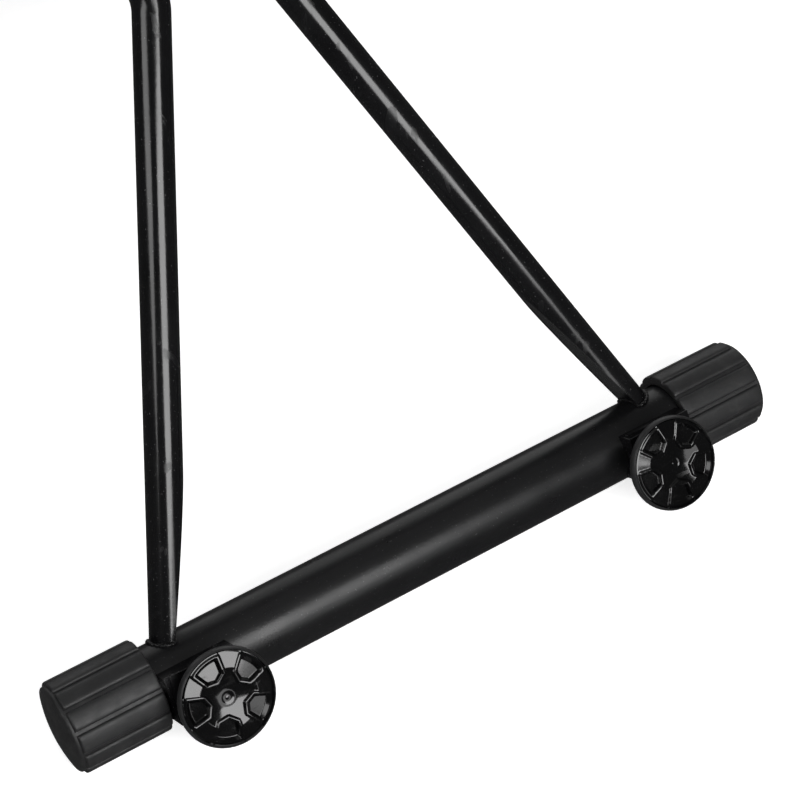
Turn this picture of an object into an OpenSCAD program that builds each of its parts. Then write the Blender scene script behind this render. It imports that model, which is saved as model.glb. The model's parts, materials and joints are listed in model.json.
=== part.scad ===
// Folding stand: two welded tube frames crossed on one clamped pivot bolt.
// Millimetres, +Z up, feet on z = 0, origin on the floor midway between the feet.
// The bars run along Y. The outer frame's foot is on the +X side.

/* [Stand] */
// Slope of each leg frame above the floor, in degrees
frame_slope = 51.7; // [50:0.1:65]
// Pivot to bar axis, along the frame
leg_len = 450; // [380:1:520]
// Length over the rubber caps of each bar
stand_depth = 421.6; // [380:1:500]

/* [Bars] */
// Outside diameter of the foot and top bars
bar_d = 38.1; // [30:0.1:45]
// Wall of the foot and top bars
bar_wall = 1.6; // [1:0.1:2.5]

/* [Struts] */
// Outside diameter of the struts
strut_d = 19.1; // [16:0.1:22]
// Wall of the struts
strut_wall = 1.5; // [1:0.1:2]
// Strut centre to mid plane, where the strut meets the bar
weld_y = 147.4; // [130:1:165]
// Outer frame strut centre to mid plane, at the pivot
outer_mid_y = 32; // [31:0.5:40]
// Inner frame strut centre to mid plane, at the pivot
inner_mid_y = 11; // [10.5:0.5:12]
// Pivot to the bend in each strut
bend_z = 143.5; // [100:0.5:170]
// Length of the crimped strut end
crimp_len = 107; // [60:1:120]
// Width across the crimped end, in the plane of the frame
crimp_w = 8; // [6:0.1:16]

/* [Caps] */
// Distance across opposite rib faces
cap_d = 49.3; // [44:0.1:56]
// Length of a cap
cap_len = 52.4; // [40:0.1:60]
// Number of ribs
rib_n = 12; // [8:1:16]
// Width of a rib
rib_w = 8.6; // [6:0.1:10]
// Depth of the grooves between the ribs
rib_h = 1.7; // [1:0.1:2.5]
// Thickness of the closed end
cap_end = 6.4; // [4:0.1:8]

/* [Hand screws] */
// Hand screw centre to mid plane
knob_y = 134.2; // [130:0.1:150]
// Hand screw axis, this far outside the bar axis
knob_drop = 10; // [0:0.1:20]
// Hand screw skirt diameter
knob_d = 50.8; // [44:0.5:56]
// Face cap diameter
face_d = 47.2; // [40:0.1:52]
// Face rim above the bar axis
face_n = 41.6; // [30:0.1:50]
// Boss side towards the middle of the bar, from the hand screw axis
boss_in = 14.5; // [12:0.5:20]
// Boss side towards the end cap, from the hand screw axis
boss_out = 23.2; // [12:0.1:24]
// Boss edge towards the pivot, above the bar axis along the leg
boss_top = 9; // [5:0.5:16]
// Boss height along the leg
boss_h = 25; // [20:0.5:42]
// Boss face above the bar axis
boss_n = 28.4; // [22:0.1:40]
// Stud diameter
stud_d = 8; // [6:1:10]

/* [Pivot] */
// Pivot bolt diameter
pivot_d = 10; // [8:1:12]

/* [Hidden] */

$fn = 48;
steel = [0.06, 0.06, 0.065];
gloss = [0.03, 0.03, 0.035];
rubber = [0.08, 0.08, 0.08];
plastic = [0.09, 0.09, 0.09];
zinc = [0.6, 0.6, 0.62];
nylon = [0.2, 0.2, 0.2];

fit = 0.02;                       // clearance between touching fixed pieces
gap = 0.3;                        // clearance between pieces that move apart
bar_r = bar_d / 2;
strut_r = strut_d / 2;
cap_r = cap_d / 2;
bar_len = stand_depth - 2 * cap_end - 0.4;
foot_x = leg_len * cos(frame_slope);
pivot_z = cap_r + leg_len * sin(frame_slope);
pin_r = pivot_d / 2;
bush_r = pin_r + 1.5;
stud_r = stud_d / 2;
side_y = outer_mid_y + strut_r;   // outer faces of the outer frame's struts
saddle_y = side_y + 4;            // flat outer face of the saddle blocks
knob_back_n = boss_n + gap + 1.2 + gap;
pitch = 1.25;

// ---- placing -------------------------------------------------------------
// Frame coordinates: x square to the frame on its outer side, y along the bars,
// z up the legs, with the foot bar's axis at the origin.

module outer_frame() {
    translate([foot_x, 0, cap_r])
        rotate([0, frame_slope - 90, 0])
            children();
}

module inner_frame() {
    rotate([0, 0, 180])
        outer_frame()
            children();
}

module at_top() {
    translate([0, 0, 2 * leg_len])
        rotate([0, 180, 0])
            children();
}

// side: -1 is the -Y end in frame coordinates, +1 the +Y end
module at_knob(side) {
    translate([0, side * knob_y, -knob_drop])
        rotate([0, 90, 0])
            children();
}

module both_sides() {
    for (side = [0, 1])
        mirror([0, side, 0])
            children();
}

// ---- bars ----------------------------------------------------------------

module y_rod(r, len) {
    rotate([90, 0, 0])
        cylinder(r = r, h = len, center = true, $fn = 72);
}

module bar() {
    difference() {
        y_rod(bar_r, bar_len);
        y_rod(bar_r - bar_wall, bar_len + 2);
    }
}

// ---- struts --------------------------------------------------------------

// Sloping leg of a strut from its bend at the origin, cut back on its inner side
// by a flat: the outside for wall = 0, the hollow inside for the strut's wall.
module leg_rod(wall, angle) {
    r = strut_r - wall;
    len = (leg_len - bend_z) / cos(angle);
    difference() {
        cylinder(r = r, h = len);
        translate([-strut_d, 0, 0])
            rotate([90, 0, 90])
                linear_extrude(height = 2 * strut_d)
                    polygon([[-strut_d, len - crimp_len], [-r, len - crimp_len],
                             [strut_r - crimp_w + wall, len + 1],
                             [-strut_d, len + 1]]);
    }
}

// Middle rod, the knuckles at its bends and both legs, about the pivot.
module strut_rods(wall, mid_y) {
    angle = atan((weld_y - mid_y) / (leg_len - bend_z));
    r = strut_r - wall;
    translate([0, mid_y, -bend_z])
        cylinder(r = r, h = 2 * bend_z);
    for (m = [0, 1])
        mirror([0, 0, m])
            translate([0, mid_y, bend_z]) {
                sphere(r = r + 0.5);
                rotate([-angle, 0, 0])
                    leg_rod(wall, angle);
            }
}

module strut(mid_y, hole_r) {
    difference() {
        strut_rods(0, mid_y);
        strut_rods(strut_wall, mid_y);
        for (m = [-1, 1])
            translate([0, 0, m * leg_len])
                y_rod(bar_r + fit, 2 * weld_y + 80);
        translate([0, mid_y, 0])
            y_rod(hole_r, strut_d + 4);
    }
}

module strut_in_frame(side, mid_y, hole_r) {
    translate([0, 0, leg_len])
        mirror([0, side < 0 ? 1 : 0, 0])
            strut(mid_y, hole_r);
}

// ---- welds ---------------------------------------------------------------

// Collar of weld round a strut's crimped end, on the bar's surface.
module bead(mid_y) {
    angle = atan((weld_y - mid_y) / (leg_len - bend_z));
    difference() {
        intersection() {
            placed_leg(-2.2, mid_y, angle);
            y_rod(bar_r + 2.4, 2 * weld_y + 80);
        }
        placed_leg(-0.06, mid_y, angle);
        y_rod(bar_r + fit, 2 * weld_y + 80);
    }
}

// One leg rod in frame coordinates, its end on the foot bar's axis.
module placed_leg(wall, mid_y, angle) {
    translate([0, mid_y, leg_len - bend_z])
        mirror([0, 0, 1])
            rotate([-angle, 0, 0])
                leg_rod(wall, angle);
}

module frame_beads(mid_y) {
    both_sides()
        bead(mid_y);
    at_top()
        both_sides()
            bead(mid_y);
}

// ---- rubber caps ---------------------------------------------------------

// Cap along +y of the frame, open towards the middle of the bar.
module cap_body() {
    core_r = cap_r - rib_h;
    in_r = bar_r + fit;
    rotate([-90, 0, 0])
        rotate_extrude($fn = 72)
            polygon([[in_r, 0], [core_r - 0.6, 0], [core_r, 0.8], [core_r, cap_len - 4.2],
                     [core_r - 0.4, cap_len - 3.5], [core_r - 1.4, cap_len - 3],
                     [16, cap_len - 1.65], [10, cap_len - 0.65], [5, cap_len - 0.16],
                     [0, cap_len], [0, cap_len - cap_end], [in_r, cap_len - cap_end]]);
}

module rib() {
    core_r = cap_r - rib_h - 0.8;
    translate([-rib_w / 2, 0, 0])
        rotate([90, 0, 90])
            linear_extrude(height = rib_w)
                polygon([[0.2, core_r], [0.2, cap_r - 1.1], [1.3, cap_r],
                         [cap_len - 6.2, cap_r], [cap_len - 5.3, cap_r - 0.7],
                         [cap_len - 5, core_r - 1]]);
}

module cap() {
    translate([0, stand_depth / 2 - cap_len, 0])
        union() {
            cap_body();
            for (i = [0:rib_n - 1])
                rotate([0, i * 360 / rib_n + 90 - frame_slope, 0])
                    rib();
        }
}

module end_cap(side) {
    mirror([0, side < 0 ? 1 : 0, 0])
        cap();
}

// ---- hand screws ---------------------------------------------------------

module boss() {
    difference() {
        translate([4, -boss_in, boss_top - boss_h])
            cube([boss_n - 4, boss_in + boss_out, boss_h]);
        y_rod(bar_r + fit, 2 * boss_out + 10);
        translate([0, 0, -knob_drop])
            rotate([0, 90, 0])
                cylinder(r = stud_r + 0.05, h = boss_n + 1);
    }
}

module knob_bosses() {
    both_sides()
        translate([0, knob_y, 0])
            boss();
}

module knob_washer() {
    translate([0, 0, boss_n + gap])
        difference() {
            cylinder(r = 9, h = 1.2);
            translate([0, 0, -1])
                cylinder(r = stud_r + 0.08, h = 4);
        }
}

// Skirt with its back hub; axis along z, back face at z = 0, rim at z = rim_z.
module skirt(rim_z) {
    r = knob_d / 2;
    rotate_extrude($fn = 72)
        polygon([[0, 0], [10, 0], [10.6, 0.5], [10.6, rim_z - 6.2], [r - 3.2, rim_z - 6.2],
                 [r - 1, rim_z - 5.6], [r - 0.2, rim_z - 4.6], [r, rim_z - 3.6],
                 [r - 0.3, rim_z - 1.6], [face_d / 2 + 0.3, rim_z - 0.4],
                 [face_d / 2 + 0.1, rim_z - 3], [0, rim_z - 3]]);
}

module pocket_shape(grow) {
    polygon([[9.6 - grow, 0], [12.2 - grow * 0.5, -4.3 - grow], [19.6, -6.4 - grow],
             [21.6 + grow * 0.4, -6.6 - grow], [21.6 + grow * 0.4, 6.6 + grow],
             [19.6, 6.4 + grow], [12.2 - grow * 0.5, 4.3 + grow]]);
}

// Glossy face: shallow dish, raised lips round five pockets, a dimple in the middle.
module face(rim_z, turn) {
    r = face_d / 2;
    dish_r = 160;
    difference() {
        union() {
            translate([0, 0, rim_z - 2.96])
                cylinder(r = r, h = 2.56, $fn = 72);
            translate([0, 0, rim_z - 0.5])
                cylinder(r1 = r, r2 = r - 0.9, h = 0.7, $fn = 72);
            for (i = [0:4])
                rotate([0, 0, turn + i * 72])
                    translate([0, 0, rim_z - 1.4])
                        linear_extrude(height = 1.8)
                            pocket_shape(1.1);
        }
        for (i = [0:4])
            rotate([0, 0, turn + i * 72])
                translate([0, 0, rim_z - 1.7])
                    linear_extrude(height = 4)
                        pocket_shape(0);
        translate([0, 0, rim_z + 12 - 1.5])
            sphere(r = 12, $fn = 64);
        translate([0, 0, rim_z - 1.4])
            cylinder(r = 2, h = 4, $fn = 32);
    }
}

module knob_skirt() {
    translate([0, 0, knob_back_n])
        difference() {
            skirt(face_n - knob_back_n);
            translate([0, 0, -1])
                cylinder(r = stud_r + fit, h = face_n - knob_back_n - 3);
        }
}

module knob_face(turn) {
    translate([0, 0, knob_back_n])
        face(face_n - knob_back_n, turn);
}

// Stud: threaded rod moulded into the skirt; its core shows as shallow grooves.
module knob_stud() {
    tip = bar_r - 0.3;
    top = face_n - 4.1;
    rings = floor((boss_n - tip - 1.5) / pitch);
    difference() {
        translate([0, 0, tip])
            cylinder(r = stud_r, h = top - tip);
        for (i = [1:rings])
            translate([0, 0, tip + i * pitch])
                rotate_extrude()
                    polygon([[stud_r + 0.2, -0.45], [stud_r - 0.55, 0], [stud_r + 0.2, 0.45]]);
    }
}

// ---- pivot ---------------------------------------------------------------

module at_pivot() {
    translate([0, 0, pivot_z])
        children();
}

module bolt() {
    tail_y = saddle_y + 9;
    hex_r = 9.8;
    rotate([90, 0, 0]) {
        translate([0, 0, -tail_y])
            cylinder(r = pin_r, h = tail_y + saddle_y + fit);
        translate([0, 0, saddle_y + fit])
            linear_extrude(height = 6.4)
                polygon([for (i = [0:5]) hex_r * [cos(i * 60), sin(i * 60)]]);
    }
}

module saddle() {
    difference() {
        rotate([-90, 0, 0])
            translate([0, 0, outer_mid_y + 4])
                cylinder(r = 10, h = saddle_y - outer_mid_y - 4);
        rotate([0, frame_slope - 90, 0])
            translate([0, outer_mid_y, -30])
                cylinder(r = strut_r + fit, h = 60);
        y_rod(pin_r + fit, 3 * saddle_y);
    }
}

module friction_disc() {
    thick = outer_mid_y - inner_mid_y - strut_d - 2 * 0.35;
    translate([0, (outer_mid_y + inner_mid_y) / 2, 0])
        difference() {
            y_rod(13, thick);
            y_rod(pin_r + fit, 10);
        }
}

module bush() {
    translate([0, inner_mid_y, 0])
        difference() {
            y_rod(bush_r, strut_d);
            y_rod(pin_r + 0.05, strut_d + 2);
        }
}

module pivot_washer() {
    rotate([-90, 0, 0])
        translate([0, 0, saddle_y + gap])
            difference() {
                cylinder(r = 10.5, h = 1.6);
                translate([0, 0, -1])
                    cylinder(r = pin_r + 0.08, h = 5);
            }
}

module at_pivot_knob() {
    at_pivot()
        rotate([-90, 0, 0])
            translate([0, 0, saddle_y + gap + 1.6 + gap])
                children();
}

module pivot_skirt() {
    difference() {
        skirt(13);
        translate([0, 0, -1])
            cylinder(r = pin_r + 0.05, h = 10.4);
    }
}

// ---- nodes: outer frame --------------------------------------------------

module outer_foot_bar() { color(steel) outer_frame() bar(); }
module outer_top_bar() { color(steel) outer_frame() at_top() bar(); }
module outer_strut_left() {
    color(gloss) outer_frame() strut_in_frame(-1, outer_mid_y, pin_r + 0.1);
}
module outer_strut_right() {
    color(gloss) outer_frame() strut_in_frame(1, outer_mid_y, pin_r + 0.1);
}
module outer_foot_cap_left() { color(rubber) outer_frame() end_cap(-1); }
module outer_foot_cap_right() { color(rubber) outer_frame() end_cap(1); }
module outer_top_cap_left() { color(rubber) outer_frame() at_top() end_cap(-1); }
module outer_top_cap_right() { color(rubber) outer_frame() at_top() end_cap(1); }
module outer_weld_beads() { color(steel) outer_frame() frame_beads(outer_mid_y); }
module outer_knob_bosses() { color(steel) outer_frame() knob_bosses(); }
module outer_left_knob_washer() { color(zinc) outer_frame() at_knob(-1) knob_washer(); }
module outer_left_knob_skirt() { color(plastic) outer_frame() at_knob(-1) knob_skirt(); }
module outer_left_knob_face() { color(gloss) outer_frame() at_knob(-1) knob_face(50); }
module outer_left_knob_stud() { color(zinc) outer_frame() at_knob(-1) knob_stud(); }
module outer_right_knob_washer() { color(zinc) outer_frame() at_knob(1) knob_washer(); }
module outer_right_knob_skirt() { color(plastic) outer_frame() at_knob(1) knob_skirt(); }
module outer_right_knob_face() { color(gloss) outer_frame() at_knob(1) knob_face(64); }
module outer_right_knob_stud() { color(zinc) outer_frame() at_knob(1) knob_stud(); }

// ---- nodes: inner frame --------------------------------------------------

module inner_foot_bar() { color(steel) inner_frame() bar(); }
module inner_top_bar() { color(steel) inner_frame() at_top() bar(); }
module inner_strut_left() {
    color(gloss) inner_frame() strut_in_frame(-1, inner_mid_y, bush_r + fit);
}
module inner_strut_right() {
    color(gloss) inner_frame() strut_in_frame(1, inner_mid_y, bush_r + fit);
}
module inner_foot_cap_left() { color(rubber) inner_frame() end_cap(-1); }
module inner_foot_cap_right() { color(rubber) inner_frame() end_cap(1); }
module inner_top_cap_left() { color(rubber) inner_frame() at_top() end_cap(-1); }
module inner_top_cap_right() { color(rubber) inner_frame() at_top() end_cap(1); }
module inner_weld_beads() { color(steel) inner_frame() frame_beads(inner_mid_y); }
module inner_knob_bosses() { color(steel) inner_frame() knob_bosses(); }
module inner_left_knob_washer() { color(zinc) inner_frame() at_knob(-1) knob_washer(); }
module inner_left_knob_skirt() { color(plastic) inner_frame() at_knob(-1) knob_skirt(); }
module inner_left_knob_face() { color(gloss) inner_frame() at_knob(-1) knob_face(28); }
module inner_left_knob_stud() { color(zinc) inner_frame() at_knob(-1) knob_stud(); }
module inner_right_knob_washer() { color(zinc) inner_frame() at_knob(1) knob_washer(); }
module inner_right_knob_skirt() { color(plastic) inner_frame() at_knob(1) knob_skirt(); }
module inner_right_knob_face() { color(gloss) inner_frame() at_knob(1) knob_face(9); }
module inner_right_knob_stud() { color(zinc) inner_frame() at_knob(1) knob_stud(); }

// ---- nodes: pivot --------------------------------------------------------

module pivot_bolt() { color(zinc) at_pivot() bolt(); }
module pivot_saddles() { color(steel) at_pivot() both_sides() saddle(); }
module pivot_friction_discs() { color(nylon) at_pivot() both_sides() friction_disc(); }
module pivot_bushes() { color(nylon) at_pivot() both_sides() bush(); }
module pivot_knob_washer() { color(zinc) at_pivot() pivot_washer(); }
module pivot_knob_skirt() { color(plastic) at_pivot_knob() pivot_skirt(); }
module pivot_knob_face() { color(gloss) at_pivot_knob() face(13, 18); }

// ---- drawing -------------------------------------------------------------

outer_foot_bar();
outer_top_bar();
outer_strut_left();
outer_strut_right();
outer_foot_cap_left();
outer_foot_cap_right();
outer_top_cap_left();
outer_top_cap_right();
outer_weld_beads();
outer_knob_bosses();
outer_left_knob_washer();
outer_left_knob_skirt();
outer_left_knob_face();
outer_left_knob_stud();
outer_right_knob_washer();
outer_right_knob_skirt();
outer_right_knob_face();
outer_right_knob_stud();
inner_foot_bar();
inner_top_bar();
inner_strut_left();
inner_strut_right();
inner_foot_cap_left();
inner_foot_cap_right();
inner_top_cap_left();
inner_top_cap_right();
inner_weld_beads();
inner_knob_bosses();
inner_left_knob_washer();
inner_left_knob_skirt();
inner_left_knob_face();
inner_left_knob_stud();
inner_right_knob_washer();
inner_right_knob_skirt();
inner_right_knob_face();
inner_right_knob_stud();
pivot_bolt();
pivot_saddles();
pivot_friction_discs();
pivot_bushes();
pivot_knob_washer();
pivot_knob_skirt();
pivot_knob_face();
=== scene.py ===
import json
import math

import bmesh
import bpy
from mathutils import Matrix, Vector


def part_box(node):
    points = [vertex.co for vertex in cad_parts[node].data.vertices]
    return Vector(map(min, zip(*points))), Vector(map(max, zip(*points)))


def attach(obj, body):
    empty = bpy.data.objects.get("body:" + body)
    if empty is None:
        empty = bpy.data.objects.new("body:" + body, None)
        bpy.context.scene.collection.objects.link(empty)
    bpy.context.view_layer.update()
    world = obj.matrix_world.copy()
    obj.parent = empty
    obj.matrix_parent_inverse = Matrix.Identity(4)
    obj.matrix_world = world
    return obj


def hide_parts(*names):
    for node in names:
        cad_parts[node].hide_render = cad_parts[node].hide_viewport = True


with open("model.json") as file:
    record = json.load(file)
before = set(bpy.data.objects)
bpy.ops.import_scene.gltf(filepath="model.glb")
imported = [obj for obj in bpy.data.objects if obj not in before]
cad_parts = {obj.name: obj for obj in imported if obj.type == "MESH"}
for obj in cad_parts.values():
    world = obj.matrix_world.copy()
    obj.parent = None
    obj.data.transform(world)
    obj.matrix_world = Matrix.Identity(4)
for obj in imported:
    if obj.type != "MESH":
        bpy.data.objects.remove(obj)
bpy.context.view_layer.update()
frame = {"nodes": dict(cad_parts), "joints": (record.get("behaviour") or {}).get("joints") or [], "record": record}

MM = 0.001
TAU = 2 * math.pi


# ---- places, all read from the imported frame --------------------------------

def centre(node):
    low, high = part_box(node)
    return (low + high) / 2


def frame_axes(name, y_sign):
    """Matrix from a leg frame's own axes to the world: x square to the frame on
    its outer side, y along the bars, z up the leg, origin on the foot bar's axis."""
    foot, top = centre(name + "_foot_bar"), centre(name + "_top_bar")
    z = (top - foot).normalized()
    y = Vector((0, y_sign, 0))
    x = y.cross(z)
    m = Matrix((x, y, z)).transposed().to_4x4()
    m.translation = foot
    return m, (top - foot).length / 2


OUTER, LEG = frame_axes("outer", 1)
INNER, _ = frame_axes("inner", -1)
FRAMES = {"outer": OUTER, "inner": INNER}
JOINTS = {j["name"]: j for j in frame["joints"]}

foot_low, foot_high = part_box("outer_foot_bar")
cap_low, cap_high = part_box("outer_foot_cap_right")
BAR_R = (foot_high.z - foot_low.z) / 2
BAR_HALF = (foot_high.y - foot_low.y) / 2
CAP_R = OUTER.translation.z - cap_low.z
CAP_LEN = cap_high.y - cap_low.y
DEPTH_HALF = cap_high.y
# turns a leg frame end for end, foot bar to top bar
FLIP = Matrix.Translation((0, 0, 2 * LEG)) @ Matrix.Rotation(math.pi, 4, "Y")


# ---- mesh helpers ----------------------------------------------------------

def new_piece(name, verts, faces, matrix=None, sharp=34):
    """A mesh object with smooth shading, and sharp edges where faces turn by more
    than sharp degrees."""
    mesh = bpy.data.meshes.new(name)
    mesh.from_pydata([tuple(v) for v in verts], [], faces)
    bm = bmesh.new()
    bm.from_mesh(mesh)
    bmesh.ops.remove_doubles(bm, verts=bm.verts, dist=1e-6)
    bmesh.ops.recalc_face_normals(bm, faces=bm.faces)
    limit = math.radians(sharp)
    for f in bm.faces:
        f.smooth = True
    for e in bm.edges:
        if len(e.link_faces) == 2:
            e.smooth = e.calc_face_angle(0) < limit
    bm.to_mesh(mesh)
    bm.free()
    if matrix is not None:
        mesh.transform(matrix)
    mesh.update()
    obj = bpy.data.objects.new(name, mesh)
    bpy.context.scene.collection.objects.link(obj)
    return obj


def ring_faces(rows, cols, offset=0):
    """Faces between closed rings of cols vertices each, the first at offset."""
    faces = []
    for i in range(rows - 1):
        for j in range(cols):
            a = offset + i * cols + j
            b = offset + i * cols + (j + 1) % cols
            faces.append((a, b, b + cols, a + cols))
    return faces


def lathe(profile, cols=96):
    """Rows of (radius, height) turned about z; a radius of 0 closes the end."""
    verts, faces = [], []
    start = []
    for r, h in profile:
        start.append(len(verts))
        if r < 1e-9:
            verts.append((0, 0, h))
        else:
            verts += [(r * math.cos(TAU * j / cols), r * math.sin(TAU * j / cols), h)
                      for j in range(cols)]
    for i in range(len(profile) - 1):
        a, b = start[i], start[i + 1]
        ra, rb = profile[i][0] >= 1e-9, profile[i + 1][0] >= 1e-9
        for j in range(cols):
            k = (j + 1) % cols
            if ra and rb:
                faces.append((a + j, a + k, b + k, b + j))
            elif ra:
                faces.append((a + j, a + k, b))
            elif rb:
                faces.append((a, b + k, b + j))
    return verts, faces


def smooth(a, b, x):
    """0 below a, 1 above b, with an eased step between them."""
    t = min(max((x - a) / (b - a), 0), 1)
    return t * t * (3 - 2 * t)


# ---- materials -------------------------------------------------------------

class Nodes:
    """A material under construction, with short ways to add its nodes."""

    def __init__(self, name):
        self.mat = bpy.data.materials.new(name)
        self.mat.use_nodes = True
        self.tree = self.mat.node_tree
        self.tree.nodes.clear()
        out = self.new("ShaderNodeOutputMaterial")
        self.bsdf = self.new("ShaderNodeBsdfPrincipled")
        self.link(self.bsdf.outputs[0], out.inputs[0])
        self.coord = self.new("ShaderNodeTexCoord")

    def new(self, kind, **values):
        node = self.tree.nodes.new(kind)
        for k, v in values.items():
            setattr(node, k, v)
        return node

    def link(self, a, b):
        self.tree.links.new(a, b)

    def noise(self, scale, detail=4, rough=0.5, stretch=(1, 1, 1), distortion=0.0):
        mapping = self.new("ShaderNodeMapping")
        mapping.inputs["Scale"].default_value = stretch
        self.link(self.coord.outputs["Object"], mapping.inputs["Vector"])
        node = self.new("ShaderNodeTexNoise")
        node.inputs["Scale"].default_value = scale
        node.inputs["Detail"].default_value = detail
        node.inputs["Roughness"].default_value = rough
        node.inputs["Distortion"].default_value = distortion
        self.link(mapping.outputs[0], node.inputs["Vector"])
        return node.outputs["Fac"]

    def ramp(self, value, stops):
        node = self.new("ShaderNodeValToRGB")
        while len(node.color_ramp.elements) < len(stops):
            node.color_ramp.elements.new(0.5)
        for e, (pos, col) in zip(node.color_ramp.elements, stops):
            e.position = pos
            e.color = (*col, 1)
        self.link(value, node.inputs[0])
        return node.outputs["Color"]

    def range(self, value, a, b, lo, hi):
        node = self.new("ShaderNodeMapRange")
        node.inputs["From Min"].default_value = a
        node.inputs["From Max"].default_value = b
        node.inputs["To Min"].default_value = lo
        node.inputs["To Max"].default_value = hi
        self.link(value, node.inputs["Value"])
        return node.outputs["Result"]

    def mix(self, fac, a, b):
        node = self.new("ShaderNodeMix", data_type="RGBA")
        self.link(fac, node.inputs["Factor"])
        for sock, v in ((node.inputs[6], a), (node.inputs[7], b)):
            if isinstance(v, tuple):
                sock.default_value = (*v, 1)
            else:
                self.link(v, sock)
        return node.outputs[2]

    def math(self, op, a, b):
        node = self.new("ShaderNodeMath", operation=op)
        for sock, v in zip(node.inputs, (a, b)):
            if isinstance(v, (int, float)):
                sock.default_value = v
            else:
                self.link(v, sock)
        return node.outputs[0]

    def bump(self, height, strength, distance, chain=None):
        node = self.new("ShaderNodeBump")
        node.inputs["Strength"].default_value = strength
        node.inputs["Distance"].default_value = distance
        self.link(height, node.inputs["Height"])
        if chain is not None:
            self.link(chain, node.inputs["Normal"])
        return node.outputs[0]

    def set(self, **values):
        for k, v in values.items():
            sock = self.bsdf.inputs[k.replace("_", " ")]
            if isinstance(v, (int, float, tuple)):
                sock.default_value = (*v, 1) if isinstance(v, tuple) else v
            else:
                self.link(v, sock)


def scratches(n, scale, stretch):
    """Thin broken lines: a stretched noise cut to its peaks."""
    return n.range(n.noise(scale, 2, 0.6, stretch, 0.4), 0.62, 0.66, 0, 1)


def powder_coat():
    n = Nodes("bar_satin")
    tone = n.noise(9, 5, 0.6)
    speck = n.range(n.noise(900, 1, 0.5), 0.72, 0.76, 0, 1)
    base = n.ramp(tone, [(0.3, (0.0045, 0.0045, 0.005)), (0.7, (0.009, 0.009, 0.0095))])
    base = n.mix(n.math("MULTIPLY", speck, 0.35), base, (0.12, 0.12, 0.12))
    rough = n.range(n.noise(40, 4, 0.6), 0.3, 0.7, 0.26, 0.36)
    rub = scratches(n, 60, (1, 0.12, 1))
    rough = n.math("ADD", rough, n.math("MULTIPLY", rub, 0.12))
    peel = n.bump(n.noise(650, 2, 0.5), 0.12, 0.0004)
    wave = n.bump(n.noise(38, 2, 0.5), 0.10, 0.0012, peel)
    n.set(Base_Color=base, Roughness=rough, Normal=wave, IOR=1.38)
    return n.mat


def gloss_enamel():
    n = Nodes("strut_gloss")
    tone = n.noise(14, 4, 0.6)
    base = n.ramp(tone, [(0.3, (0.003, 0.003, 0.0034)), (0.7, (0.007, 0.007, 0.0076))])
    speck = n.range(n.noise(1100, 1, 0.5), 0.73, 0.77, 0, 1)
    base = n.mix(n.math("MULTIPLY", speck, 0.4), base, (0.2, 0.2, 0.2))
    rough = n.range(n.noise(55, 3, 0.6), 0.3, 0.7, 0.13, 0.2)
    rub = scratches(n, 90, (1, 1, 0.1))
    rough = n.math("ADD", rough, n.math("MULTIPLY", rub, 0.15))
    peel = n.bump(n.noise(420, 2, 0.5), 0.06, 0.0004)
    wave = n.bump(n.noise(24, 2, 0.5), 0.12, 0.0016, peel)
    n.set(Base_Color=base, Roughness=rough, Normal=wave, IOR=1.5)
    return n.mat


def cap_rubber():
    n = Nodes("rubber")
    tone = n.noise(30, 6, 0.65)
    base = n.ramp(tone, [(0.3, (0.010, 0.010, 0.0105)), (0.7, (0.020, 0.020, 0.0205))])
    dust = n.range(n.noise(120, 5, 0.7), 0.55, 0.75, 0, 1)
    base = n.mix(n.math("MULTIPLY", dust, 0.35), base, (0.05, 0.05, 0.048))
    rough = n.range(n.noise(200, 3, 0.6), 0.3, 0.7, 0.46, 0.6)
    grain = n.bump(n.noise(1500, 2, 0.6), 0.25, 0.0003)
    wave = n.bump(n.noise(120, 3, 0.5), 0.15, 0.0008, grain)
    n.set(Base_Color=base, Roughness=rough, Normal=wave, IOR=1.5)
    return n.mat


def satin_plastic():
    n = Nodes("knob_satin")
    base = n.ramp(n.noise(60, 4, 0.6), [(0.3, (0.012, 0.012, 0.0125)),
                                        (0.7, (0.020, 0.020, 0.0205))])
    rough = n.range(n.noise(180, 3, 0.6), 0.3, 0.7, 0.38, 0.5)
    grain = n.bump(n.noise(1400, 2, 0.6), 0.12, 0.0002)
    n.set(Base_Color=base, Roughness=rough, Normal=grain, IOR=1.5)
    return n.mat


def gloss_plastic():
    n = Nodes("knob_gloss")
    base = n.ramp(n.noise(40, 3, 0.6), [(0.3, (0.0012, 0.0012, 0.0014)),
                                        (0.7, (0.003, 0.003, 0.0032))])
    rough = n.range(n.noise(90, 4, 0.65), 0.3, 0.7, 0.07, 0.14)
    rub = scratches(n, 240, (1, 0.3, 1))
    rough = n.math("ADD", rough, n.math("MULTIPLY", rub, 0.12))
    wave = n.bump(n.noise(70, 1, 0.4), 0.04, 0.0003)
    n.set(Base_Color=base, Roughness=rough, Normal=wave, IOR=1.52)
    return n.mat


def zinc_plate():
    n = Nodes("zinc")
    base = n.ramp(n.noise(50, 4, 0.6), [(0.3, (0.42, 0.43, 0.44)), (0.7, (0.56, 0.56, 0.55))])
    rough = n.range(n.noise(160, 4, 0.6), 0.3, 0.7, 0.25, 0.42)
    grain = n.bump(n.noise(900, 2, 0.6), 0.15, 0.0002)
    n.set(Base_Color=base, Roughness=rough, Normal=grain, Metallic=1.0)
    return n.mat


def nylon_plastic():
    n = Nodes("nylon")
    base = n.ramp(n.noise(50, 4, 0.6), [(0.3, (0.07, 0.07, 0.072)), (0.7, (0.11, 0.11, 0.112))])
    rough = n.range(n.noise(160, 4, 0.6), 0.3, 0.7, 0.45, 0.6)
    grain = n.bump(n.noise(1100, 2, 0.6), 0.15, 0.0002)
    n.set(Base_Color=base, Roughness=rough, Normal=grain)
    return n.mat


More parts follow.
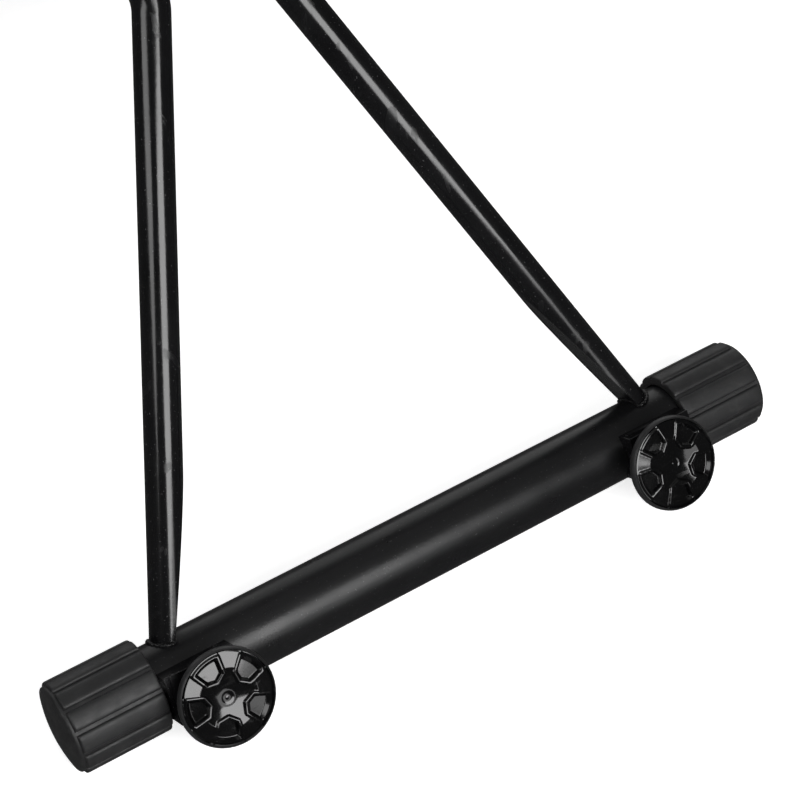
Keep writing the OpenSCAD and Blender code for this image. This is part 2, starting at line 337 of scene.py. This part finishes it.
MATS = {"bar_satin": powder_coat(), "strut_gloss": gloss_enamel(), "rubber": cap_rubber(),
        "knob_satin": satin_plastic(), "knob_gloss": gloss_plastic(),
        "zinc": zinc_plate(), "nylon": nylon_plastic()}

SLOT_OF = {s["node"]: s["material_slot"] for s in frame["record"]["subparts"]}
for name, obj in frame["nodes"].items():
    obj.data.materials.clear()
    obj.data.materials.append(MATS[SLOT_OF[name]])


def finish_piece(obj, body, node):
    """Gives a piece the material of its node and the body it belongs to, and hides the imported node."""
    slot = SLOT_OF[node]
    obj.data.materials.clear()
    obj.data.materials.append(MATS[slot])
    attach(obj, body)
    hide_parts(node)
    return obj


# ---- bars ------------------------------------------------------------------

BAR_WALL = 1.6 * MM
BAR_EDGE = 0.3 * MM           # chamfer at the ends of the tube


def build_bar(name, matrix, body, node):
    """An open round tube with eased ends."""
    h, r, wall, edge = BAR_HALF, BAR_R, BAR_WALL, BAR_EDGE
    rows = [(r - wall, -h), (r - edge, -h), (r, -h + edge)]
    rows += [(r, -h + (2 * h) * i / 24) for i in range(1, 24)]
    rows += [(r, h - edge), (r - edge, h), (r - wall, h), (r - wall, -h)]
    verts, faces = lathe(rows, 96)
    turn = Matrix.Rotation(-math.pi / 2, 4, "X")
    return finish_piece(new_piece(name, verts, faces, matrix @ turn), body, node)


# ---- rubber caps -----------------------------------------------------------

RIBS = 12
RIB_H = 1.7 * MM
RIB_HALF = math.radians(12.8)    # half angle of a rib at its foot
RIB_STEPS = (-1, -0.985, -0.95, -0.88, -0.76, -0.6, -0.4, -0.2, 0, 0.2, 0.4, 0.6, 0.76, 0.88,
             0.95, 0.985, 1)     # places across a rib, in half widths
CAP_END = 6.4 * MM               # thickness of the closed end
DOME_H = 3.0 * MM                # rise of the domed end over its rim
BORE_GAP = 0.02 * MM


def cap_angles():
    """Angles round one cap, with how far up a rounded rib each one is (0 groove, 1 crest)."""
    out = []
    for i in range(RIBS):
        c = TAU * i / RIBS
        for t in RIB_STEPS:
            out.append((c + RIB_HALF * t, (1 - abs(t) ** 7) ** 0.6))
        out.append((c + TAU / RIBS / 2, 0.0))
    return out


def build_cap(name, matrix, body, node, side, phase):
    """A cap with its mouth towards the middle of the bar, along +y for side 1."""
    core, n = CAP_R - RIB_H, CAP_LEN
    e = n - 2 * MM               # the ribs' taper and the band past them are set from here
    # distance from the mouth, core radius, share of the rib's height
    rows = [(0.0, core - 0.5 * MM, 0.0), (0.05 * MM, core - 0.25 * MM, 0.45),
            (0.3 * MM, core, 0.72), (0.7 * MM, core, 0.9), (1.3 * MM, core, 1.0)]
    rows += [(1.3 * MM + (e - 5.8 * MM) * i / 10, core, 1.0) for i in range(1, 11)]
    rows += [(e - 4.1 * MM, core, 0.96), (e - 3.75 * MM, core, 0.84), (e - 3.5 * MM, core, 0.6),
             (e - 3.3 * MM, core, 0.3), (e - 3.1 * MM, core, 0.0), (e - 2.3 * MM, core, 0.0),
             (e - 1.85 * MM, core - 0.12 * MM, 0.0), (e - 1.5 * MM, core - 0.4 * MM, 0.0),
             (e - 1.2 * MM, core - 0.85 * MM, 0.0)]
    rim = core - 1.4 * MM
    rows += [(n - DOME_H * (1 - i / 12) ** 2, rim * (1 - i / 12), 0.0) for i in range(12)]
    angles = cap_angles()
    cols = len(angles)
    verts = []
    for y, r, share in rows:
        for a, up in angles:
            radius = r + RIB_H * up * share
            verts.append((radius * math.cos(a + phase), y, radius * math.sin(a + phase)))
    faces = ring_faces(len(rows), cols)
    verts.append((0, n, 0))
    last = (len(rows) - 1) * cols
    faces += [(last + j, last + (j + 1) % cols, len(verts) - 1) for j in range(cols)]
    # mouth: rounded inner lip, then the bore against the bar
    inner = [(0.0, rim), (0.25 * MM, BAR_R + 0.75 * MM), (0.9 * MM, BAR_R + 0.3 * MM),
             (2.0 * MM, BAR_R + BORE_GAP), (n - CAP_END, BAR_R + BORE_GAP)]
    base = len(verts)
    for y, r in inner:
        verts += [(r * math.cos(a + phase), y, r * math.sin(a + phase)) for a, _ in angles]
    faces += ring_faces(len(inner), cols, base)
    faces += [(j, base + j, base + (j + 1) % cols, (j + 1) % cols) for j in range(cols)]
    faces.append(tuple(base + (len(inner) - 1) * cols + j for j in range(cols)))
    place = Matrix.Translation((0, DEPTH_HALF - n, 0))
    if side < 0:
        place = Matrix.Diagonal((1, -1, 1, 1)) @ place
    return finish_piece(new_piece(name, verts, faces, matrix @ place, 26), body, node)


# ---- struts ----------------------------------------------------------------

STRUT_R = 9.55 * MM
BEND_R = 26 * MM
CRIMP_LEN = 107 * MM         # from the bar's axis to where the tube is round again
CRIMP_W = 8.0 * MM           # width left by the crimp, at the bar's axis
STRUT_START = 12 * MM        # the strut's open end, inside the bar
BEND_Z = 143.5 * MM          # from the pivot
WELD_Y = 147.4 * MM          # where a strut's axis meets the bar's, from the mid plane
ROUND = -STRUT_R - 1 * MM    # a flat past the tube's wall leaves it round
# a strut's axis at the pivot, from the mid plane
MID_Y = {"outer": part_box("outer_strut_right")[0].y + STRUT_R,
         "inner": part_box("inner_strut_left")[0].y + STRUT_R}


def strut_angle(mid_y):
    """Lean of a strut's lower half, in the frame's plane."""
    return math.atan((WELD_Y - mid_y) / (LEG - BEND_Z))


def crimp_flat(s):
    """Height of the crimp's flat in the section, s along the strut."""
    return -STRUT_R + (2 * STRUT_R - CRIMP_W) * (1 - s / CRIMP_LEN)


def section(flat):
    """Tube section with its inner side (-y) pressed flat, a little hollow, at y = flat."""
    r = STRUT_R
    alpha = math.acos(min(max(-flat / r, -1), 1)) if flat > -r else 0.0
    alpha = max(alpha, math.radians(9))
    pts = []
    arc, chord = 44, 14
    for i in range(arc):
        a = -math.pi / 2 + alpha + (TAU - 2 * alpha) * i / arc
        pts.append((r * math.cos(a), r * math.sin(a)))
    for i in range(chord):
        u = -1 + 2 * i / chord
        a = -math.pi / 2 + u * alpha
        y = r * math.sin(a)
        if y < flat:
            sink = 0.35 * MM * smooth(0, 0.5, (1 - u * u) * smooth(-r, -r + 2 * MM, flat))
            y = flat + sink
        pts.append((u * r * math.sin(alpha), y))
    return pts


def strut_path(mid_y):
    """Points up one strut from the foot bar to the pivot: (y, z, tilt, flat)."""
    angle = strut_angle(mid_y)
    tangent = BEND_R * math.tan(angle / 2)
    bend_z = LEG - BEND_Z            # height of the bend above the foot bar
    straight = bend_z / math.cos(angle)
    pts = []

    def lean(s, flat):
        pts.append((WELD_Y - s * math.sin(angle), s * math.cos(angle), angle, flat))

    for i in range(31):              # crimp
        s = STRUT_START + (CRIMP_LEN - STRUT_START) * (i / 30)
        lean(s, crimp_flat(s))
    for i in range(1, 9):            # plain tube
        lean(CRIMP_LEN + (straight - tangent - CRIMP_LEN) * i / 8, ROUND)
    for i in range(1, 11):           # the bend, turning upright
        a = angle * (1 - i / 10)
        y = mid_y + BEND_R * (1 - math.cos(a))
        pts.append((y, bend_z + tangent - BEND_R * math.sin(a), a, ROUND))
    for i in range(1, 5):            # up to the pivot
        pts.append((mid_y, bend_z + tangent + (BEND_Z - tangent) * i / 4, 0.0, ROUND))
    return pts


def build_strut(name, matrix, body, node, side, mid_y):
    """A strut from bar to bar; its open ends run into the bars."""
    half = strut_path(mid_y)
    path = half + [(y, 2 * LEG - z, -a, flat) for y, z, a, flat in reversed(half[:-1])]
    verts = []
    for y, z, a, flat in path:
        for u, v in section(flat):
            # section: u square to the frame, v outward in the frame's plane
            verts.append((u, side * (y + v * math.cos(a)), z + v * math.sin(a)))
    faces = ring_faces(len(path), len(section(ROUND)))
    return finish_piece(new_piece(name, verts, faces, matrix, 14), body, node)


# ---- weld beads ------------------------------------------------------------

def bead_loop(mid_y, cols=120):
    """Where a strut's crimped end meets the bar, in frame coordinates."""
    angle = strut_angle(mid_y)
    base = section(crimp_flat(BAR_R))
    pts = []
    for i in range(cols):
        f = i / cols * len(base)
        a, b = base[int(f)], base[(int(f) + 1) % len(base)]
        w = f - int(f)
        u, v = a[0] * (1 - w) + b[0] * w, a[1] * (1 - w) + b[1] * w
        # along the strut: y = WELD_Y - s sin + v cos, z = s cos + v sin, on the bar
        need = math.sqrt(max(BAR_R ** 2 - u * u, 0))
        s = (need - v * math.sin(angle)) / math.cos(angle)
        pts.append(Vector((u, WELD_Y - s * math.sin(angle) + v * math.cos(angle), need)))
    return pts


def build_beads(name, body, node, mid_y, matrix):
    """Weld beads round a frame's four strut ends, rippled along their length."""
    verts, faces = [], []
    ring = 10                    # vertices round a bead
    for flip in (Matrix.Identity(4), FLIP):
        for side in (1, -1):
            loop = bead_loop(mid_y)
            n = len(loop)
            mid = sum(loop, Vector()) / n
            base = len(verts)
            seed = 3.1 * side + (1.7 if flip is FLIP else 0.0)
            for i, p in enumerate(loop):
                along = (loop[(i + 1) % n] - loop[i - 1]).normalized()
                out = (p - mid)
                out -= along * out.dot(along)
                out.normalize()
                up = Vector((p.x, 0, p.z)).normalized()
                ripple = 0.5 + 0.5 * math.cos(i * TAU * 15 / n + seed)
                wander = 0.5 + 0.5 * math.sin(i * TAU * 3 / n + seed * 2)
                r = (0.95 + 0.35 * ripple + 0.5 * wander) * MM
                c = p + out * 0.15 * MM
                for k in range(ring):
                    a = TAU * k / ring
                    q = c + (out * math.cos(a) + up * math.sin(a) * 0.9) * r
                    q = flip @ Vector((q.x, side * q.y, q.z))
                    verts.append(q)
            faces += ring_faces(n, ring, base)
            last = base + (n - 1) * ring
            faces += [(last + k, last + (k + 1) % ring, base + (k + 1) % ring, base + k)
                      for k in range(ring)]
    return finish_piece(new_piece(name, verts, faces, matrix, 80), body, node)


# ---- blocks under the hand screws ------------------------------------------

BLOCK_EDGE = 0.35 * MM


def build_blocks(name, body, node, matrix):
    """Two blocks with eased edges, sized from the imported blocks' own outline."""
    packed = frame["nodes"][node]
    to_frame = matrix.inverted() @ packed.matrix_world
    corners = [p for p in (to_frame @ v.co for v in packed.data.vertices) if p.y > 0]
    low, high = [Vector([pick(p[i] for p in corners) for i in range(3)]) for pick in (min, max)]
    bm = bmesh.new()
    for side in (1, -1):
        made = bmesh.ops.create_cube(bm, size=1)["verts"]
        for v in made:
            v.co = (low + high) / 2 + v.co * (high - low)
            v.co.y *= side
        edges = {e for v in made for e in v.link_edges}
        bmesh.ops.bevel(bm, geom=list(edges), offset=BLOCK_EDGE, segments=3,
                        affect="EDGES", profile=0.5)
    bm.verts.index_update()
    verts = [v.co.copy() for v in bm.verts]
    faces = [tuple(v.index for v in f.verts) for f in bm.faces]
    bm.free()
    return finish_piece(new_piece(name, verts, faces, matrix, 60), body, node)


# ---- hand screws -----------------------------------------------------------

FACE_R = 23.6 * MM
KNOB_R = 25.3 * MM
STUD_R = 4.02 * MM
SCREW_BACK = -5.8 * MM        # a hand screw's hub, from its joint along its axis
SCREW_RIM = 5.6 * MM          # and the rim of its face
PIVOT_BACK = -7.2 * MM
PIVOT_RIM = 5.75 * MM
POCKETS = 5
BOWL_R = 15.2                 # mm, the dished middle of the face
BOWL_DEPTH = 2.3
# one pocket's outline in mm, x outward
POCKET = [(10.1, 0.0), (12.1, -4.6), (21.6, -7.2), (26.0, -8.4),
          (26.0, 8.4), (21.6, 7.2), (12.1, 4.6)]


def pocket_distance(x, y):
    """Signed distance in mm to a pocket's outline, negative inside; x is outward."""
    best, inside = math.inf, True
    for (ax, ay), (bx, by) in zip(POCKET, POCKET[1:] + POCKET[:1]):
        ex, ey = bx - ax, by - ay
        px, py = x - ax, y - ay
        t = min(max((px * ex + py * ey) / (ex * ex + ey * ey), 0), 1)
        best = min(best, math.hypot(px - ex * t, py - ey * t))
        if ex * py - ey * px < 0:
            inside = False
    return -best if inside else best


def face_height(r, a, turn):
    """Height of the glossy face above the rim's plane, in mm, at radius r in mm."""
    if r < BOWL_R:
        h = -BOWL_DEPTH * (1 - (r / BOWL_R) ** 1.6)
    else:
        h = -0.13 * (r - BOWL_R)                  # the land falls towards the rim
    h -= 0.15 * smooth(22.6, 23.6, r)
    h += 0.1 * math.exp(-((r - 3.4) / 0.6) ** 2)  # ring round the middle
    h += 0.22 * math.exp(-(r / 0.8) ** 2)         # moulding point
    half = math.pi / POCKETS
    sector = (a - turn + half) % (2 * half) - half
    d = pocket_distance(r * math.cos(sector), r * math.sin(sector))
    if d > 2.1:
        return h
    lip = 0.42 - 0.45 * (1 - smooth(8.5, 14.5, r)) - 0.11 * max(r - BOWL_R, 0)
    lip -= 0.5 * smooth(21.4, 23.2, r)
    lip -= 0.16 * ((d - 0.75) / 0.75) ** 2 if 0 < d < 1.5 else 0.16
    if d > 0:                                     # rounded lip, easing into the face
        return max(h, h + (lip - h) * (1 - smooth(1.25, 1.95, d)))
    floor = -1.7 - 0.09 * (r - 12) + 2.2 * min(max((r - 19.8) / 1.9, 0), 1)
    wall = smooth(0.0, 1.35, -d)
    return lip * (1 - wall) + min(floor, lip) * wall


def build_face(name, matrix, body, node, turn, rim):
    """Glossy insert; its rim circle lies rim metres up the knob's axis."""
    cols = 300
    radii = [0.0001, 0.35, 0.7, 1.0, 1.4, 1.9, 2.4, 2.8, 3.1, 3.4, 3.7, 4.1, 4.7, 5.4, 6.1, 6.8]
    radii += [7.3 + 0.28 * i for i in range(57)]
    radii += [23.25, 23.45]
    angles = [TAU * j / cols for j in range(cols)]
    rings = [(r, [face_height(r, a, turn) for a in angles]) for r in radii]
    rings += [(r, [h] * cols) for r, h in ((23.6, -0.25), (23.6, -2.9), (10, -2.9))]
    verts = [(r * MM * math.cos(a), r * MM * math.sin(a), rim + h * MM)
             for r, heights in rings for a, h in zip(angles, heights)]
    faces = ring_faces(len(rings), cols)
    last = (len(rings) - 1) * cols
    faces.append(tuple(range(cols)))
    faces.append(tuple(last + j for j in range(cols)))
    return finish_piece(new_piece(name, verts, faces, matrix, 38), body, node)


def build_skirt(name, matrix, body, node, back, rim):
    """Skirt with its back hub, from back to rim along the knob's axis."""
    r, f, hole = KNOB_R, FACE_R, STUD_R
    rows = [(hole, back), (9.6 * MM, back), (10.3 * MM, back + 0.5 * MM),
            (10.5 * MM, back + 1.0 * MM), (10.9 * MM, rim - 6.9 * MM), (11.8 * MM, rim - 6.2 * MM),
            (r - 3.4 * MM, rim - 6.15 * MM), (r - 2.0 * MM, rim - 6.0 * MM),
            (r - 1.0 * MM, rim - 5.5 * MM), (r - 0.4 * MM, rim - 4.9 * MM),
            (r - 0.08 * MM, rim - 4.2 * MM), (r, rim - 3.5 * MM), (r - 0.1 * MM, rim - 2.6 * MM),
            (r - 0.35 * MM, rim - 1.7 * MM), (r - 0.75 * MM, rim - 0.95 * MM),
            (r - 1.15 * MM, rim - 0.6 * MM), (f + 0.42 * MM, rim - 0.5 * MM),
            (f + 0.25 * MM, rim - 0.62 * MM), (f + 0.16 * MM, rim - 1.0 * MM),
            (f + 0.12 * MM, rim - 2.95 * MM), (hole, rim - 2.95 * MM), (hole, back)]
    verts, faces = lathe(rows, 128)
    return finish_piece(new_piece(name, verts, faces, matrix, 50), body, node)


def knob_matrix(joint, side_way):
    """Axes at a hand screw's joint, z along its axis and y along side_way."""
    j = JOINTS[joint]
    z = Vector(j["axis"]).normalized()
    x = Vector(side_way).cross(z).normalized()
    y = z.cross(x)
    m = Matrix((x, y, z)).transposed().to_4x4()
    m.translation = Vector(j["pos_m"])
    return m


# ---- put it together -------------------------------------------------------

# how far each knob's face is turned, in degrees
TURN = {("outer", "left"): 50, ("outer", "right"): 64, ("inner", "left"): 28,
        ("inner", "right"): 9, "pivot": 18}
SIDES = ((-1, "left"), (1, "right"))
for name, m in FRAMES.items():
    body = name + "_frame"
    mid_y = MID_Y[name]
    build_bar(name + "_foot_tube", m, body, name + "_foot_bar")
    build_bar(name + "_top_tube", m @ FLIP, body, name + "_top_bar")
    down = m.to_3x3().inverted() @ Vector((0, 0, -1))
    phase = math.atan2(down.z, down.x)
    for where, place in (("foot", m), ("top", m @ FLIP)):
        for side, tag in SIDES:
            build_cap(f"{name}_{where}_rubber_{tag}", place, body,
                      f"{name}_{where}_cap_{tag}", side, phase)
    for side, tag in SIDES:
        build_strut(f"{name}_leg_{tag}", m, body, f"{name}_strut_{tag}", side, mid_y)
    build_blocks(f"{name}_blocks", body, f"{name}_knob_bosses", m)
    build_beads(f"{name}_welds", body, f"{name}_weld_beads", mid_y, m)
    for side, tag in SIDES:
        knob = f"{name}_{tag}_knob"
        km = knob_matrix(knob + "_turn", m.col[1][:3])
        turn = math.radians(TURN[name, tag])
        build_skirt(knob + "_body", km, knob, knob + "_skirt", SCREW_BACK, SCREW_RIM)
        build_face(knob + "_cover", km, knob, knob + "_face", turn, SCREW_RIM)

pivot = knob_matrix("pivot_knob_turn", (0, 0, 1))
build_skirt("pivot_knob_body", pivot, "pivot_knob", "pivot_knob_skirt", PIVOT_BACK, PIVOT_RIM)
build_face("pivot_knob_cover", pivot, "pivot_knob", "pivot_knob_face",
           math.radians(TURN["pivot"]), PIVOT_RIM)

# ---- stage, light, camera --------------------------------------------------

def pale_floor():
    n = Nodes("floor_paper")
    base = n.ramp(n.noise(3, 3, 0.5), [(0.3, (0.86, 0.86, 0.86)), (0.7, (0.9, 0.9, 0.9))])
    n.set(Base_Color=base, Roughness=0.9, Emission_Color=(1, 1, 1), Emission_Strength=0.72)
    return n.mat


FLOOR_HALF = 12.0
corners = [(x * FLOOR_HALF, y * FLOOR_HALF, 0) for x, y in ((-1, -1), (1, -1), (1, 1), (-1, 1))]
floor = new_piece("floor", corners, [(0, 1, 2, 3)])
floor.data.materials.append(pale_floor())
floor.visible_glossy = False

ROOM_LIGHT = 0.06             # what the world gives the object
WALL_LIGHT = 0.9              # what the camera sees past the floor's edge

scene = bpy.context.scene
scene.view_settings.view_transform = "Standard"
world = bpy.data.worlds.new("studio")
scene.world = world
world.use_nodes = True
back = world.node_tree.nodes["Background"]
back.inputs["Color"].default_value = (1, 1, 1, 1)
seen = world.node_tree.nodes.new("ShaderNodeLightPath")
level = world.node_tree.nodes.new("ShaderNodeMapRange")
level.inputs["To Min"].default_value = ROOM_LIGHT
level.inputs["To Max"].default_value = WALL_LIGHT
world.node_tree.links.new(seen.outputs["Is Camera Ray"], level.inputs["Value"])
world.node_tree.links.new(level.outputs["Result"], back.inputs["Strength"])


def panel(name, offset, wide, tall, radiance):
    """A soft panel aimed at the foot bar; offset is from the bar's centre, in metres."""
    data = bpy.data.lights.new(name, "AREA")
    data.shape = "RECTANGLE"
    data.size, data.size_y = wide, tall
    data.energy = radiance * math.pi * wide * tall
    obj = bpy.data.objects.new(name, data)
    obj.location = foot + Vector(offset)
    obj.rotation_euler = (-Vector(offset)).to_track_quat("-Z", "Y").to_euler()
    obj.visible_camera = False
    scene.collection.objects.link(obj)
    return obj


foot = OUTER.translation
panel("key", (0.76, 0.04, 0.63), 0.58, 0.54, 7.5)
panel("low", (0.97, 0.19, 0.27), 0.24, 0.30, 2.4)
panel("side", (0.03, -0.93, 0.76), 0.70, 0.36, 3.5)
panel("backdrop", (-1.6, 0.5, 0.6), 2.6, 1.3, 1.0)
panel("top", (0.0, 0.0, 3.0), 3.0, 3.0, 0.3)

AZIMUTH = math.radians(-32.53)      # of the camera, from +X towards +Y
ELEVATION = math.radians(49.92)
DISTANCE = 1.1852                   # to the point the camera is aimed at
AIM_RIGHT, AIM_UP = -0.01007, 0.0750    # that point, from the foot bar's centre
LENS = 103.15                       # mm, on a 36 mm wide sensor

forward = -Vector((math.cos(ELEVATION) * math.cos(AZIMUTH),
                   math.cos(ELEVATION) * math.sin(AZIMUTH), math.sin(ELEVATION)))
right = forward.cross(Vector((0, 0, 1))).normalized()
up = right.cross(forward)
target = foot + right * AIM_RIGHT + up * AIM_UP
cam_data = bpy.data.cameras.new("camera")
cam_data.sensor_width = 36
cam_data.lens = LENS
cam_data.clip_start = 0.05
camera = bpy.data.objects.new("camera", cam_data)
camera.matrix_world = (Matrix.Translation(target - forward * DISTANCE)
                       @ Matrix((right, up, -forward)).transposed().to_4x4())
scene.collection.objects.link(camera)
scene.camera = camera

bpy.context.view_layer.update()
